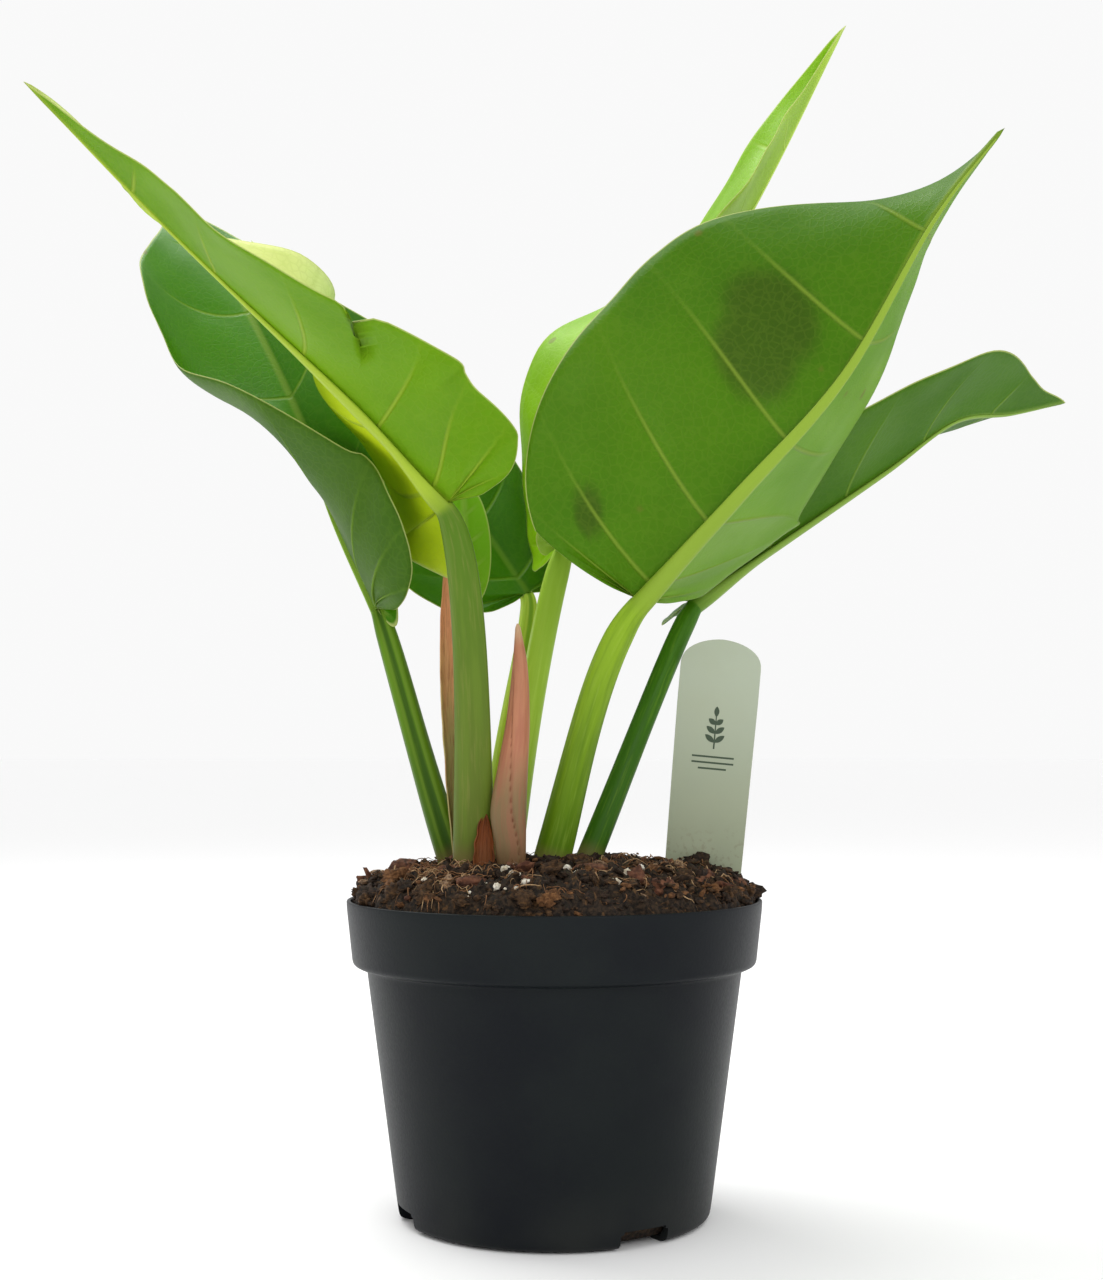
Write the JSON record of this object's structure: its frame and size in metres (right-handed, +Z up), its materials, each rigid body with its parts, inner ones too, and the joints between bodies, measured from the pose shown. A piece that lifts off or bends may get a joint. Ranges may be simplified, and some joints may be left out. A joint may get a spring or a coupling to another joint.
{
  "type": "potted philodendron",
  "caption": "Broad-leaved philodendron with folded heart-shaped leaves on long stalks, standing in a round nursery pot with a plant label.",
  "frame": {"origin": "centre of the pot's underside, on the surface it stands on", "axes": "+Z up along the pot's axis; the broad view of the leaves is from -Y; +X is to the right in that view"},
  "size_m": [0.414, 0.2489, 0.4752],
  "materials": {
    "pot_plastic": "injection-moulded polypropylene, satin",
    "label_plastic": "flexible translucent sheet, satin",
    "potting_mix": "loose, moist peat, coir and composted bark",
    "leaf_blade": "waxy, semi-gloss leaf",
    "leaf_stalk": "smooth, semi-gloss stem",
    "sheath": "drying, papery leaf scale",
    "shoot": "smooth rolled young scale",
    "bract": "dry, dead leaf scale",
    "crown": "fibrous stem base",
    "root": "thick fleshy root",
    "bark": "rough composted bark",
    "perlite": "matt expanded mineral grain"
  },
  "bodies": {
    "root": {"bark_chip_1": "bark", "bark_chip_2": "bark", "bark_chip_3": "bark", "bark_chip_4": "bark", "bark_chip_5": "bark", "bark_chip_6": "bark", "bark_chip_7": "bark", "bark_chip_8": "bark", "blade_back": "leaf_blade", "blade_front_left": "leaf_blade", "blade_front_right": "leaf_blade", "blade_left": "leaf_blade", "blade_right": "leaf_blade", "blade_tall": "leaf_blade", "blade_young": "leaf_blade", "crown_left": "crown", "crown_right": "crown", "dry_bract": "bract", "new_shoot": "shoot", "nursery_pot": "pot_plastic", "perlite_1": "perlite", "perlite_10": "perlite", "perlite_2": "perlite", "perlite_3": "perlite", "perlite_4": "perlite", "perlite_5": "perlite", "perlite_6": "perlite", "perlite_7": "perlite", "perlite_8": "perlite", "perlite_9": "perlite", "plant_label": "label_plastic", "potting_mix": "potting_mix", "root_left_1": "root", "root_left_2": "root", "root_left_3": "root", "root_left_4": "root", "root_right_1": "root", "root_right_2": "root", "stalk_back": "leaf_stalk", "stalk_front_left": "leaf_stalk", "stalk_front_right": "leaf_stalk", "stalk_left": "leaf_stalk", "stalk_right": "leaf_stalk", "stalk_tall": "leaf_stalk", "stalk_young": "leaf_stalk", "tall_sheath": "sheath"}
  },
  "joints": []
}
